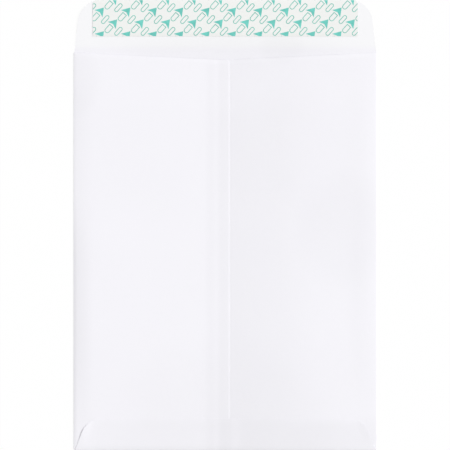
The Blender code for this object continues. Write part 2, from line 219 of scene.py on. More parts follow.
class EnvelopeSizes(bpy.types.PropertyGroup):
    """Sizes of the paper and its folds."""

    body_width: length("Body width", "From side fold to side fold", SHEET_HIGH.x - SHEET_LOW.x)
    body_height: length(
        "Body height", "From the bottom fold to the flap's crease", SHEET_HIGH.y - SHEET_LOW.y - FLAP_HEIGHT
    )
    paper: length("Paper thickness", "Thickness of the sheet", 0.00013)
    side_fold_radius: length("Side fold radius", "Radius of the side folds, at mid paper", 0.0002)
    flap_height: length("Flap height", "From the crease to the flap's tip", FLAP_HEIGHT)
    flap_root_inset: length("Flap root inset", "How far the flap starts in from each side fold", 0.0007)
    flap_corner: length("Flap corner radius", "Radius of the flap's two corners", 0.0195)
    flap_rise: length("Flap rise", "How far the open flap's tip stands off the table", 0.0008)
    throat_side_drop: length("Throat drop at the sides", "Back panel edge below the crease there", 0.00135)
    throat_centre_drop: length("Throat drop at the seam", "Back panel edge below the crease there", 0.0071)
    panel_corner: length("Panel corner radius", "Radius of the back panels' free corners", 0.0025)
    panel_clearance: length("Panel clearance", "Back panels' lower edge above the bottom fold", 0.0009)
    seam_offset: length("Seam edge offset", "Free edge of the upper panel right of the middle", 0.0034)
    seam_overlap: length("Seam overlap", "Width over which the two back panels are glued", 0.0099)
    seam_ramp: length("Seam ramp", "Width over which paper climbs over an edge below it", 0.010)
    seal_height: length("Bottom flap height", "From the bottom fold to the flap's edge", 0.0246)
    seal_root_inset: length("Bottom flap inset", "How far that flap starts in from each side", 0.0008)
    seal_corner: length("Bottom flap corner radius", "Radius of its two corners", 0.0156)
    seal_crown: length("Bottom flap crown", "How much higher its edge is at the middle", 0.0005)
    left_bow: length("Left bow", "How far the left back panel stands off the front", 0.001)
    crest_bow: length("Crest bow", "How far the right one does at its highest", 0.00125)
    right_bow: length("Right bow", "How far it does near the right fold", 0.00045)
    crest_place: length("Crest place", "Where the back is highest, right of the middle", 0.045)
    bow_roll: length("Bow roll", "Width over which the back rises from each side fold", 0.016)
    foot_roll: length("Foot roll", "Length over which it first rises from the bottom fold", 0.0016)
    bow_run: length("Bow run", "Height above the bottom at which the bow is full", 0.1)
    throat_roll: length("Throat roll", "Length over which the bow closes again to the throat", 0.045)
    glue: length("Glue thickness", "Thickness of the glue films", 0.00005)
    gap: length("Contact gap", "Clearance between pieces that lie on each other", 0.00003)


class WearSizes(bpy.types.PropertyGroup):
    """Small unevenness that handling and glue leave in the paper."""

    shoulder: length("Fold shoulder", "How far the paper springs up beside a side fold", 0.00023)
    shoulder_width: length("Shoulder width", "Width over which it does", 0.0018)
    wave: length("Wave height", "Height of the slow waves in the back panels", 0.0002)
    pucker: length("Pucker height", "Height of the small ripples along the seam", 0.00004)
    lip_curl: length("Lip curl", "How far the throat edge bends down", 0.00012)
    lip_width: length("Lip width", "Width over which it does", 0.003)
    seam_press: length("Seam press", "How far the seam's free edge is pressed down", 0.00008)
    seam_press_width: length("Seam press width", "Width of that pressed edge", 0.001)
    corner_lift: length("Corner lift", "How far the bottom flap's left end stands off", 0.00045)
    corner_width: length("Corner lift width", "Width over which it does", 0.007)


class ClosureSizes(bpy.types.PropertyGroup):
    """Sizes of the closing strip, the liner on it and the liner's print."""

    liner_thickness: length("Liner thickness", "Thickness of the release paper", 0.00008)
    liner_corner: length("Liner corner radius", "Radius of its corners at the flap's tip", 0.0035)
    rim_width: length("Rim width", "Width of the liner's rims that lie down on the paper", 0.0024)
    strip_thickness: length("Strip thickness", "Thickness of the adhesive", 0.00006)
    ink: length("Ink thickness", "Thickness of the printed colour", 0.000008)
    motif_pitch: length("Motif pitch", "Distance between neighbours in a row of print", 0.021)
    row_pitch: length("Row pitch", "Distance between rows of print", 0.0094)
    shaft_length: length("Shaft length", "Length of an arrow's outlined shaft", 0.009)
    shaft_width: length("Shaft width", "Width of that shaft", 0.0042)
    line_width: length("Line width", "Width of the shaft's outline", 0.0006)
    head_length: length("Head length", "Length of an arrow's head", 0.0066)
    head_width: length("Head width", "Width of an arrow's head", 0.0086)
    head_notch: length("Head notch", "Depth of the notch behind an arrow's head", 0.0016)
    bar_length: length("Bar length", "Length of the outlined bar beside an arrow", 0.0082)
    bar_width: length("Bar width", "Width of that bar", 0.0034)
    bar_behind: length("Bar behind", "How far the bar's middle lies behind the head's notch", 0.0015)
    bar_beside: length("Bar beside", "How far it lies beside the arrow", 0.007)
    motif_angle: bpy.props.FloatProperty(
        name="Motif angle",
        description="Slant of the arrows",
        default=radians(48),
        unit="ROTATION",
        subtype="ANGLE",
    )


class FinishColours(bpy.types.PropertyGroup):
    """Colours of the materials."""

    paper: colour("Paper", "Two plies of the white paper", 245, 244, 249)
    # The single ply's colour is a painted lighter copy of the paper, standing in for light that shows
    # through it on the flap
    lit_single_ply: colour("Single ply", "The paper where it lies single, on the flap", 248, 248, 250)
    liner: colour("Liner", "Release paper between the print", 243, 244, 242)
    solid_ink: colour("Solid print", "Solid parts of the print", 116, 213, 201)
    line_ink: colour("Line print", "Outlines of the print", 130, 208, 193)
    adhesive: colour("Adhesive", "Closing strip under the liner", 236, 230, 206)
    glue: colour("Glue", "Dried glue in the seams", 232, 226, 205)


class StageSettings(bpy.types.PropertyGroup):
    """Camera and light."""

    lens: bpy.props.FloatProperty(name="Lens", description="Focal length in mm", default=250, min=20)
    sky: bpy.props.FloatProperty(name="Sky", description="Strength of the even light", default=0.53, min=0)
    lamp: bpy.props.FloatProperty(name="Lamp", description="Strength of the side light", default=2.95, min=0)


# Node trees


class Wire:
    """A node's output that Python arithmetic can be written on: each operator adds its Math node."""

    def __init__(self, tree, socket):
        self.tree = tree
        self.socket = socket

    def __add__(self, other):
        return self.tree.maths("ADD", self, other)

    __radd__ = __add__

    def __sub__(self, other):
        return self.tree.maths("SUBTRACT", self, other)

    def __rsub__(self, other):
        return self.tree.maths("SUBTRACT", other, self)

    def __mul__(self, other):
        return self.tree.maths("MULTIPLY", self, other)

    __rmul__ = __mul__

    def __truediv__(self, other):
        return self.tree.maths("DIVIDE", self, other)

    def __rtruediv__(self, other):
        return self.tree.maths("DIVIDE", other, self)

    def __mod__(self, other):
        return self.tree.maths("MODULO", self, other)

    def __neg__(self):
        return self.tree.maths("MULTIPLY", self, -1)

    def __abs__(self):
        return self.tree.maths("ABSOLUTE", self)

    def __lt__(self, other):
        return self.tree.maths("LESS_THAN", self, other)

    def __gt__(self, other):
        return self.tree.maths("GREATER_THAN", self, other)


class Tree:
    """A node tree that grows by typed nodes and by arithmetic on their outputs."""

    def __init__(self, tree):
        self.tree = tree

    def add(self, kind, settings=None, sockets=None):
        """A node of that type: its settings first, then the values or wires of its sockets."""
        node = self.tree.nodes.new(kind)
        for name, value in (settings or {}).items():
            setattr(node, name, value)
        for key, value in (sockets or {}).items():
            if isinstance(value, Wire):
                self.tree.links.new(value.socket, node.inputs[key])
            else:
                node.inputs[key].default_value = value
        return node

    def wire(self, node, output=0):
        return Wire(self, node.outputs[output])

    def maths(self, operation, *values):
        node = self.add("ShaderNodeMath", {"operation": operation}, dict(enumerate(values)))
        return self.wire(node)

    def larger(self, one, other):
        return self.maths("MAXIMUM", one, other)

    def smaller(self, one, other):
        return self.maths("MINIMUM", one, other)

    def smooth(self, value, start, end):
        """0 before start and 1 after end, with a soft rise between them."""
        settings = {"interpolation_type": "SMOOTHSTEP"}
        sockets = {"Value": value, "From Min": start, "From Max": end}
        return self.wire(self.add("ShaderNodeMapRange", settings, sockets))

    def vector(self, x, y, z):
        return self.wire(self.add("ShaderNodeCombineXYZ", None, {"X": x, "Y": y, "Z": z}))

    def parts(self, vector):
        node = self.add("ShaderNodeSeparateXYZ", None, {0: vector})
        return [self.wire(node, axis) for axis in "XYZ"]

    def noise(self, vector, scale, detail=2.0, roughness=0.5):
        sockets = {"Vector": vector, "Scale": scale, "Detail": detail, "Roughness": roughness}
        return self.wire(self.add("ShaderNodeTexNoise", None, sockets))


class GeometryTree(Tree):
    """A Geometry Nodes tree with named number inputs, a geometry input and a material input."""

    def __init__(self, name, numbers):
        super().__init__(bpy.data.node_groups.new(name, "GeometryNodeTree"))
        face = self.tree.interface
        face.new_socket("Geometry", in_out="INPUT", socket_type="NodeSocketGeometry")
        face.new_socket("Material", in_out="INPUT", socket_type="NodeSocketMaterial")
        for number in numbers:
            face.new_socket(number, in_out="INPUT", socket_type="NodeSocketFloat")
        face.new_socket("Geometry", in_out="OUTPUT", socket_type="NodeSocketGeometry")
        self.given = self.add("NodeGroupInput")
        self.numbers = {number: self.wire(self.given, number) for number in numbers}

    def finish(self, geometry):
        """Makes the geometry real, gives it the material and puts it out."""
        real = self.wire(self.add("GeometryNodeRealizeInstances", None, {"Geometry": geometry}))
        material = self.wire(self.given, "Material")
        painted = self.add("GeometryNodeSetMaterial", None, {"Geometry": real, "Material": material})
        self.add("NodeGroupOutput", None, {"Geometry": self.wire(painted)})
        return self.tree


def made_by(tree, piece, material, numbers):
    """Runs a Geometry Nodes tree on a piece and leaves the result as its plain mesh."""
    modifier = piece.modifiers.new(tree.name, "NODES")
    modifier.node_group = tree
    for item in tree.interface.items_tree:
        if item.in_out != "INPUT" or item.socket_type == "NodeSocketGeometry":
            continue
        modifier[item.identifier] = material if item.name == "Material" else numbers[item.name]
    graph = bpy.context.evaluated_depsgraph_get()
    mesh = bpy.data.meshes.new_from_object(piece.evaluated_get(graph), depsgraph=graph)
    piece.modifiers.remove(modifier)
    flat = piece.data
    piece.data = mesh
    bpy.data.meshes.remove(flat)
    mesh.name = piece.name
    return piece


# Places on the folded envelope and on its flat blank


def places(sizes):
    """Places that follow from the sizes, in the envelope's own frame."""
    at = SimpleNamespace()
    at.bottom = -(sizes.body_height + sizes.flap_height) / 2
    at.crease = at.bottom + sizes.body_height
    at.tip = at.crease + sizes.flap_height
    at.side = sizes.body_width / 2
    at.half_paper = sizes.paper / 2
    at.glued_step = sizes.paper + sizes.glue + 2 * sizes.gap
    at.side_gap = 2 * sizes.side_fold_radius
    at.bottom_radius = (at.side_gap + at.glued_step) / 2
    at.side_fold = at.side - sizes.side_fold_radius - at.half_paper
    at.bottom_fold = at.bottom + at.bottom_radius + at.half_paper
    at.panel_bottom = at.bottom + sizes.panel_clearance
    at.seal_top = at.bottom + sizes.seal_height
    at.seam = sizes.seam_offset
    at.hidden = sizes.seam_offset - sizes.seam_overlap
    at.throat_slope = (sizes.throat_centre_drop - sizes.throat_side_drop) / at.side_fold
    at.flap_end = at.side - sizes.flap_root_inset - sizes.flap_height * tan(FLAP_TAPER)
    at.side_turn = 2 * at.side_fold + pi * sizes.side_fold_radius
    at.bottom_turn = 2 * at.bottom_fold - pi * at.bottom_radius
    return at


# Outlines and spacing


def rectangle(low, high):
    """A rectangle's outline, anticlockwise from its lowest corner."""
    return [(low.x, low.y), (high.x, low.y), (high.x, high.y), (low.x, high.y)]


def rounded(corners):
    """Outline through corners given as (x, y, radius), with an arc at each that has a radius."""
    outline = []
    for index, (x, y, radius) in enumerate(corners):
        corner = Vector((x, y))
        if not radius:
            outline.append(corner)
            continue
        back = (Vector(corners[index - 1][:2]) - corner).normalized()
        ahead = (Vector(corners[(index + 1) % len(corners)][:2]) - corner).normalized()
        turn = pi - back.angle(ahead)
        centre = corner + (back + ahead).normalized() * radius / cos(turn / 2)
        start = corner + back * radius * tan(turn / 2) - centre
        sense = copysign(1, ahead.cross(back))
        steps = ceil(turn / ARC_STEP)
        for step in range(steps + 1):
            outline.append(centre + Matrix.Rotation(sense * turn * step / steps, 2) @ start)
    return outline


def spread(start, end, spacing):
    """Evenly spaced places from start to end, both included, no further apart than spacing."""
    steps = max(1, ceil(abs(end - start) / spacing))
    return [start + (end - start) * step / steps for step in range(steps + 1)]


def smooth_step(share):
    """0 below 0 and 1 above 1, with a soft rise between them."""
    share = min(max(share, 0), 1)
    return share * share * (3 - 2 * share)


# Outlines on the flat blank


def seal_corners(sizes, at, inset):
    """Bottom flap as folded, from its left end to its right end, moved in by inset."""
    root = at.side - sizes.seal_root_inset - inset / cos(SEAL_SLANT)
    edge = at.seal_top - inset
    end = root - (edge - at.bottom) * tan(SEAL_SLANT)
    radius = max(sizes.seal_corner - inset, 0)
    corners = [(-end, edge, radius)]
    for share in spread(-1, 1, SEAL_EDGE_STEP)[1:-1]:
        corners.append((end * share, edge + sizes.seal_crown * (1 - share**2), 0))
    corners.append((end, edge, radius))
    return root, corners


def panel_corners(sizes, at, side, free, root):
    """A back panel and its shoulder at the flap, on the blank, from the bottom to the top."""
    outer = side * at.side_turn - free
    low_throat = at.crease - sizes.throat_side_drop
    free_throat = low_throat - at.throat_slope * (at.side_fold - side * free)
    return [
        (side * root, at.bottom_fold, 0),
        (side * root, at.panel_bottom, 0),
        (outer, at.panel_bottom, sizes.panel_corner),
        (outer, free_throat, sizes.panel_corner),
        (side * (at.side_turn - at.side_fold), low_throat, 0),
        (side * at.side_fold, low_throat, 0),
        (side * (at.side - sizes.flap_root_inset), at.crease, 0),
    ]


def blank_outline(sizes, at):
    """The whole blank's outline, anticlockwise from the left end of the bottom flap."""
    root, seal = seal_corners(sizes, at, 0)
    corners = [(x, at.bottom_turn - y, radius) for x, y, radius in seal]
    corners += panel_corners(sizes, at, RIGHT, at.hidden, root)
    corners += [(at.flap_end, at.tip, sizes.flap_corner), (-at.flap_end, at.tip, sizes.flap_corner)]
    corners += reversed(panel_corners(sizes, at, LEFT, at.seam, root))
    return rounded(corners)


def seam_glue_outline(at):
    """The centre seam's glue on the blank, along the free edge of the right back panel."""
    low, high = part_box("centre_seam_glue")
    return rectangle(Vector((at.side_turn - high.x, low.y)), Vector((at.side_turn - low.x, high.y)))


def seal_glue_outline(sizes, at):
    """The bottom flap's glue on the blank, in from the flap's free edges by a margin."""
    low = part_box("bottom_flap_glue")[0]
    root, corners = seal_corners(sizes, at, SEAL_GLUE_MARGIN)
    low_x = root - (low.y - at.bottom) * tan(SEAL_SLANT)
    outline = rounded([(low_x, low.y, 0), (-low_x, low.y, 0)] + corners)
    return [(x, at.bottom_turn - y) for x, y in reversed(outline)]


# Lines that the blank is cut along, so that it can bend


def fold_lines(start, radius):
    """Lines across the blank that let it bend round a fold, going outwards from start."""
    return [start + copysign(pi * radius * step / FOLD_STEPS, start) for step in range(FOLD_STEPS + 1)]


def blank_columns(sizes, wear, at):
    """Lines up the blank: fine at the folds, the seam and the ends of the bottom flap."""
    climbing = spread(at.hidden - sizes.seam_ramp, at.hidden, FINE_SPACING)
    falling = spread(at.seam, at.seam + sizes.seam_ramp, FINE_SPACING)
    pressed = spread(at.seam - wear.seam_press_width, at.seam, wear.seam_press_width / PRESS_STEPS)
    rolled = at.side_fold - EDGE_BAND
    left = spread(-at.side_fold, -rolled, FINE_SPACING)[1:]
    left += spread(-rolled, at.hidden - sizes.seam_ramp, WIDE_SPACING)
    right = spread(at.side_fold, rolled, FINE_SPACING)[1:] + spread(rolled, at.seam, WIDE_SPACING)
    columns = fold_lines(-at.side_fold, sizes.side_fold_radius)
    columns += fold_lines(at.side_fold, sizes.side_fold_radius)
    columns += [-at.side_turn - x for x in left + climbing + pressed]
    columns += [at.side_turn - x for x in right]
    columns += spread(EDGE_BAND - at.side, at.side - EDGE_BAND, WIDE_SPACING)
    columns += spread(-at.side_fold, EDGE_BAND - at.side, FINE_SPACING)
    columns += spread(at.side - EDGE_BAND, at.side_fold, FINE_SPACING)
    return columns + climbing + falling


def blank_rows(at):
    """Lines across the blank: fine below the throat and on the bottom flap."""
    seal_root = at.bottom_fold - pi * at.bottom_radius
    rows = fold_lines(at.bottom_fold, at.bottom_radius)
    rows += spread(at.bottom_turn - at.seal_top, seal_root, 2 * FINE_SPACING)
    rows += spread(at.panel_bottom, at.bottom + EDGE_BAND, FINE_SPACING)
    rows += spread(at.bottom + EDGE_BAND, at.crease - EDGE_BAND, WIDE_SPACING)
    rows += spread(at.crease - EDGE_BAND, at.crease, FINE_SPACING)
    rows += spread(at.crease, at.tip, WIDE_SPACING)
    return rows


# Flat pieces


def flat_piece(name, outline, columns, rows, level, thickness):
    """A piece laid out flat: its outline cut along columns and rows, thickness deep, centred on level."""
    form = bmesh.new()
    form.faces.new([form.verts.new((x, y, 0)) for x, y in outline])
    cut_along(form, columns, rows)
    return thickened(name, form, level, thickness)


def cut_along(form, columns, rows):
    """Cuts flat faces along lines at those X and Y."""
    cuts = [((x, 0, 0), (1, 0, 0)) for x in columns] + [((0, y, 0), (0, 1, 0)) for y in rows]
    for point, normal in cuts:
        everything = form.verts[:] + form.edges[:] + form.faces[:]
        bmesh.ops.bisect_plane(form, geom=everything, dist=MERGE, plane_co=point, plane_no=normal)


def thickened(name, form, level, thickness):
    """Turns flat faces into a closed slab of that thickness, centred on level, in a new object."""
    bmesh.ops.triangulate(form, faces=[f for f in form.faces if len(f.verts) > 4])
    for part in bmesh.ops.extrude_face_region(form, geom=form.faces[:])["geom"]:
        if isinstance(part, bmesh.types.BMVert):
            part.co.z = thickness
    bmesh.ops.translate(form, verts=form.verts[:], vec=(0, 0, level - thickness / 2))
    bmesh.ops.recalc_face_normals(form, faces=form.faces[:])
    return new_object(name, form)


def new_object(name, form):
    """A new object in the scene, made of a bmesh that is used up."""
    mesh = bpy.data.meshes.new(name)
    form.to_mesh(mesh)
    form.free()
    piece = bpy.data.objects.new(name, mesh)
    bpy.context.scene.collection.objects.link(piece)
    return piece


# The fold


def fold_numbers(sizes, wear, at):
    """The fold tree's inputs and their values."""
    return {
        "Side fold X": at.side_fold,
        "Side fold radius": sizes.side_fold_radius,
        "Bottom fold Y": at.bottom_fold,
        "Bottom fold radius": at.bottom_radius,
        "Bottom Y": at.bottom,
        "Crease Y": at.crease,
        "Seal top Y": at.seal_top,
        "Half paper": at.half_paper,
        "Side gap": at.side_gap,
        "Glued step": at.glued_step,
        "Seam X": at.seam,
        "Hidden edge X": at.hidden,
        "Seam ramp": sizes.seam_ramp,
        "Left bow": sizes.left_bow,
        "Crest bow": sizes.crest_bow,
        "Right bow": sizes.right_bow,
        "Crest X": sizes.crest_place,
        "Bow roll": sizes.bow_roll,
        "Foot roll": sizes.foot_roll,
        "Bow run": sizes.bow_run,
        "Throat roll": sizes.throat_roll,
        "Flap height": sizes.flap_height,
        "Flap rise": sizes.flap_rise,
        "Throat drop": sizes.throat_centre_drop,
        "Throat slope": at.throat_slope,
        "Seal end X": at.side - sizes.seal_root_inset,
        "Seal slant": SEAL_SLANT,
        "Shoulder": wear.shoulder,
        "Shoulder width": wear.shoulder_width,
        "Wave": wear.wave,
        "Pucker": wear.pucker,
        "Lip curl": wear.lip_curl,
        "Lip width": wear.lip_width,
        "Seam press": wear.seam_press,
        "Seam press width": wear.seam_press_width,
        "Corner lift": wear.corner_lift,
        "Corner width": wear.corner_width,
    }


def turned_back(tree, distance, depth, radius, height):
    """Reach past a fold line and height above the front, for a point that lies distance past it."""
    angle = tree.smaller(distance / radius, pi)
    past = tree.larger(distance - radius * pi, 0)
    reach = (radius - depth) * tree.maths("SINE", angle) - past
    rise = height / 2 - (height / 2 - depth) * tree.maths("COSINE", angle)
    return reach, rise


def roll(tree, distance, width):
    """0 at no distance, rising steeply and then ever flatter to 1 at that width."""
    left_over = tree.larger(1 - distance / width, 0)
    return 1 - left_over * left_over


def left_rise(tree, from_left, upper):
    """How much of the bow is reached beside the left fold, which rises more gently further up."""
    steep = roll(tree, from_left, tree.numbers["Bow roll"])
    slow = tree.smooth(from_left, 0, SLOW_ROLL) * SLOW_SHARE
    return steep * (1 - upper * SLOW_SHARE) + upper * slow


def bow_across(tree, x):
    """The bow's full height from fold to fold: highest at its crest and low near the right fold."""
    n = tree.numbers
    to_crest = roll(tree, tree.larger(x, 0), n["Crest X"])
    past_crest = tree.smooth(x, n["Crest X"], n["Side fold X"] - n["Bow roll"])
    height = n["Left bow"] + (n["Crest bow"] - n["Left bow"]) * to_crest
    return height - (n["Crest bow"] - n["Right bow"]) * past_crest


def fold_shoulder(tree, x, from_left, from_right, upper):
    """How far the paper springs up beside the side folds: less at the right and at the upper left."""
    n = tree.numbers
    shoulder = roll(tree, from_left, n["Shoulder width"]) * roll(tree, from_right, n["Shoulder width"])
    right_side = tree.smooth(x, -n["Crest X"], n["Crest X"])
    upper_left = upper * (1 - right_side)
    lowered = 1 - right_side * (1 - RIGHT_SHOULDER_SHARE) - upper_left * (1 - UPPER_SHOULDER_SHARE)
    return n["Shoulder"] * shoulder * lowered


def lip_bend(tree, x, below_throat):
    """How far the throat's lip bends down, which is up to twice as far beside the seam."""
    n = tree.numbers
    near_seam = 1 - tree.smooth(abs(x - n["Hidden edge X"]), 0, LIP_SEAM_REACH)
    return n["Lip curl"] * ((1 - tree.smooth(below_throat, 0, n["Lip width"])) * (1 + near_seam))


def bow(tree, x, y):
    """How far the back stands off the front, beyond the gap that its folds leave."""
    n = tree.numbers
    from_left = x + n["Side fold X"]
    from_right = n["Side fold X"] - x
    upper = tree.smooth(y, UPPER_START, UPPER_END)
    held = left_rise(tree, from_left, upper) * roll(tree, from_right, n["Bow roll"])
    waves = tree.noise(tree.vector(x, y * WAVE_STRETCH, 0), WAVE_SCALE, detail=1) - 0.5
    height = (bow_across(tree, x) + n["Wave"] * 2 * waves) * held
    foot = roll(tree, y - n["Bottom Y"], n["Foot roll"])
    full = tree.smooth(y, n["Bottom Y"], n["Bottom Y"] + n["Bow run"])
    along = foot * FOOT_SHARE + full * (1 - FOOT_SHARE)
    below_throat = n["Crease Y"] - n["Throat drop"] + n["Throat slope"] * abs(x) - y
    closing = 1 - tree.smooth(below_throat, 0, n["Throat roll"])
    height = height * along * (1 - closing * (1 - THROAT_SHARE))
    shoulder = fold_shoulder(tree, x, from_left, from_right, upper)
    return height + shoulder * foot - lip_bend(tree, x, below_throat) * held


def panel_height(tree, x, y, left):
    """How far a back panel stands above the front panel, both at mid paper."""
    n = tree.numbers
    ripples = tree.noise(tree.vector(x * PUCKER_STRETCH, y, 1), PUCKER_SCALE, detail=1) - 0.5
    near_seam = 1 - tree.smooth(abs(x - n["Hidden edge X"]), 0, PUCKER_REACH)
    above_seal = tree.smooth(y, n["Seal top Y"], n["Seal top Y"] + PUCKER_REACH)
    pucker = n["Pucker"] * 2 * ripples * near_seam * above_seal
    pressed = n["Seam press"] * tree.smooth(x, n["Seam X"] - n["Seam press width"], n["Seam X"])
    return n["Side gap"] + bow(tree, x, y) + pucker + left * (seam_rise(tree, x) - pressed)


def seam_rise(tree, x):
    """Step in a sheet that runs over the hidden edge of the right panel."""
    n = tree.numbers
    return n["Glued step"] * tree.smooth(x, n["Hidden edge X"] - n["Seam ramp"], n["Hidden edge X"])


def seal_flap_height(tree, x, y):
    """How far the bottom flap stands above the front panel, both at mid paper."""
    n = tree.numbers
    fall = tree.smooth(x, n["Seam X"], n["Seam X"] + n["Seam ramp"])
    above_fold = y - n["Bottom Y"]
    end_x = n["Seal end X"] - above_fold * tree.maths("TANGENT", n["Seal slant"])
    from_end = (end_x - abs(x)) * tree.maths("COSINE", n["Seal slant"])
    share = RIGHT_LIFT_SHARE + (1 - RIGHT_LIFT_SHARE) * (x < 0)
    lift = n["Corner lift"] * share * (1 - tree.smooth(from_end, 0, n["Corner width"]))
    lift = lift * tree.smooth(above_fold, CORNER_START, CORNER_END)
    over_seam = seam_rise(tree, x) * (1 - fall)
    return n["Side gap"] + n["Glued step"] + bow(tree, x, y) + over_seam + lift


def fold_tree(numbers):
    """Folds a flat piece, whose Z is its depth above the paper's middle, into the envelope."""
    tree = GeometryTree("Fold envelope", numbers)
    n = tree.numbers
    x, y, depth = tree.parts(tree.wire(tree.add("GeometryNodeInputPosition")))
    side = tree.maths("SIGN", x)
    beyond = tree.larger(abs(x) - n["Side fold X"], 0)
    past_side = tree.larger(beyond - n["Side fold radius"] * pi, 0)
    panel_x = side * (n["Side fold X"] - past_side)
    back = panel_height(tree, panel_x, y, x < 0)
    reach, rise = turned_back(tree, beyond, depth, n["Side fold radius"], back)
    under = tree.larger(n["Bottom fold Y"] - y, 0)
    flap_y = n["Bottom fold Y"] + tree.larger(under - n["Bottom fold radius"] * pi, 0)
    seal = seal_flap_height(tree, x, flap_y)
    fall, lift = turned_back(tree, under, depth, n["Bottom fold radius"], seal)
    out_on_flap = tree.larger(y - n["Crease Y"], 0) / n["Flap height"]
    folded_x = side * (tree.smaller(abs(x), n["Side fold X"]) + reach)
    folded_y = tree.larger(y, n["Bottom fold Y"]) - fall
    folded_z = n["Half paper"] + rise + lift - depth + n["Flap rise"] * out_on_flap
    place = tree.vector(folded_x, folded_y, folded_z)
    sockets = {"Geometry": tree.wire(tree.given, "Geometry"), "Position": place}
    return tree.finish(tree.wire(tree.add("GeometryNodeSetPosition", None, sockets)))


def folded(piece, material):
    """Folds a flat piece with the rest of the envelope and smooths its shading."""
    scene = bpy.context.scene
    sizes = scene.envelope_sizes
    numbers = fold_numbers(sizes, scene.envelope_wear, places(sizes))
    tree = bpy.data.node_groups.get("Fold envelope") or fold_tree(numbers)
    made_by(tree, piece, material, numbers)
    piece.data.shade_smooth()
    piece.data.set_sharp_from_angle(angle=SHARP_ANGLE)
    return piece


def settle(piece, slot, *nodes):
    """Says what carries the piece and which solids it stands for, and hides those; slot is not used."""
    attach(piece, BODY)
    if nodes:
        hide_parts(*nodes)


# Materials


class Paint(Tree):
    """A material's node tree, with its Principled shader."""

    def __init__(self, name):
        self.material = bpy.data.materials.new(name)
        self.material.use_nodes = True
        super().__init__(self.material.node_tree)
        self.shader = self.tree.nodes["Principled BSDF"]
        self.spot = self.wire(self.add("ShaderNodeTexCoord"), "Object")

    def set(self, **sockets):
        """Gives the shader's sockets, named with _ for a space, their values or wires."""
        for name, value in sockets.items():
            socket = self.shader.inputs[name.replace("_", " ")]
            if isinstance(value, Wire):
                self.tree.links.new(value.socket, socket)
            else:
                socket.default_value = value

    def mix(self, factor, one, other, blend="MIX"):
        """Colour between one and the other."""
        settings = {"data_type": "RGBA", "blend_type": blend}
        sockets = {"Factor": factor, MIX_ONE: rgba(one), MIX_OTHER: rgba(other)}
        return self.wire(self.add("ShaderNodeMix", settings, sockets), MIX_RESULT)

    def oval(self, middle, half_width, half_height):
        """1 in the middle of a soft-edged oval and 0 outside it."""
        x, y, _ = self.parts(self.spot)
        across = (x - middle[0]) / half_width
        up = (y - middle[1]) / half_height
        return 1 - self.smooth(across * across + up * up, OVAL_CORE, 1)

    def bump(self, height, strength=1.0):
        """A normal from a height in metres."""
        sockets = {"Height": height, "Strength": strength, "Distance": 1.0}
        return self.wire(self.add("ShaderNodeBump", None, sockets))


def rgba(value):
    return value if isinstance(value, Wire) else (*value, 1.0)


def darker(value, share):
    """A plain colour made darker by that share."""
    return tuple(channel * (1 - share) for channel in value)


def painted_shade(paint, x, y, sizes, at):
    """Painted shade on the paper: over the seam's overlap and right of it, a thin shadow line beside the
    seam's edge, over the sealed bottom flap, just above the throat's edge and in soft ovals.
    """
    throat_y = at.crease - sizes.throat_centre_drop + abs(x) * at.throat_slope
    mouth = y > throat_y
    # Painted shade over the seam's overlap, fading out far to the right of the seam
    overlap = paint.smooth(x, at.hidden - SEAM_SHADE_SOFTNESS / 2, at.hidden + SEAM_SHADE_SOFTNESS)
    overlap = overlap * (1 - paint.smooth(x, at.seam, at.seam + SEAM_SHADE_FADE))
    # Painted shade over the sealed bottom flap
    sealed = 1 - paint.smooth(y, at.seal_top - SEALED_SHADE_SOFTNESS, at.seal_top + SEALED_SHADE_SOFTNESS)
    sealed = sealed * paint.smooth(x, SEALED_SHADE_SOFTNESS - at.side, 4 * SEALED_SHADE_SOFTNESS - at.side)
    # A thin painted shadow just right of the seam's free edge
    seam_shadow = 1 - paint.smooth(abs(x - at.seam - SEAM_SHADOW_WIDTH / 2), 0, SEAM_SHADOW_WIDTH / 2)
    seam_shadow = seam_shadow * (y > at.seal_top)
    grey = (overlap * SEAM_SHADE + seam_shadow * SEAM_SHADOW_GREY) * (1 - mouth) + sealed * SEALED_SHADE
    # A painted shadow just above the throat's edge, inside the mouth
    grey = grey + mouth * (1 - paint.smooth(y - throat_y, 0, LIP_SHADOW_WIDTH)) * LIP_SHADOW
    # Painted soft shade in ovals, in the mouth and everywhere on the paper
    for middle, half_width, half_height, share in MOUTH_SHADE_OVALS:
        grey = grey + mouth * paint.oval(middle, half_width, half_height) * share
    for middle, half_width, half_height, share in BACK_SHADE_OVALS:
        grey = grey + paint.oval(middle, half_width, half_height) * share
    return grey


def wove_paper(colours, sizes, at):
    """White wove envelope paper with clouds, flocs and fibres, a painted lighter tone on the flap's single
    ply as if lit through, and painted shade at the seam, the bottom flap, the throat and in soft ovals.
    """
    paint = Paint("white wove paper")
    x, y, z = paint.parts(paint.spot)
    # The flap's single ply is painted lighter, as if lit through
    on_flap = paint.smooth(y, at.crease, at.crease + FLAP_BLEND)
    base = paint.mix(on_flap, colours.paper, colours.lit_single_ply)
    darkest = paint.mix(1.0, base, darker((1, 1, 1), FULL_GREY), "MULTIPLY")
    clouds = paint.noise(paint.spot, CLOUD_SCALE, detail=3)
    flocs = paint.noise(paint.spot, FLOC_SCALE, detail=3, roughness=FLOC_UNEVENNESS)
    fibres = paint.noise(paint.vector(x * FIBRE_STRETCH, y, z), FIBRE_SCALE)
    grain = (clouds - 0.5) * CLOUD_GREY + (flocs - 0.5) * FLOC_GREY + (fibres - 0.5) * FIBRE_GREY
    # Painted shade, plus the paper's own grain
    grey = painted_shade(paint, x, y, sizes, at) + grain
    paint.set(Base_Color=paint.mix(grey / FULL_GREY, base, darkest))
    score = 1 - paint.smooth(abs(y - at.crease), 0, SCORE_HALF_WIDTH)
    height = flocs * FLOC_HEIGHT + fibres * FIBRE_HEIGHT + score * SCORE_HEIGHT
    paint.set(Roughness=PAPER_ROUGHNESS + (flocs - 0.5) * PAPER_ROUGHNESS_SPREAD, IOR=PAPER_IOR)
    paint.set(Normal=paint.bump(height, PAPER_BUMP))
    return paint.material


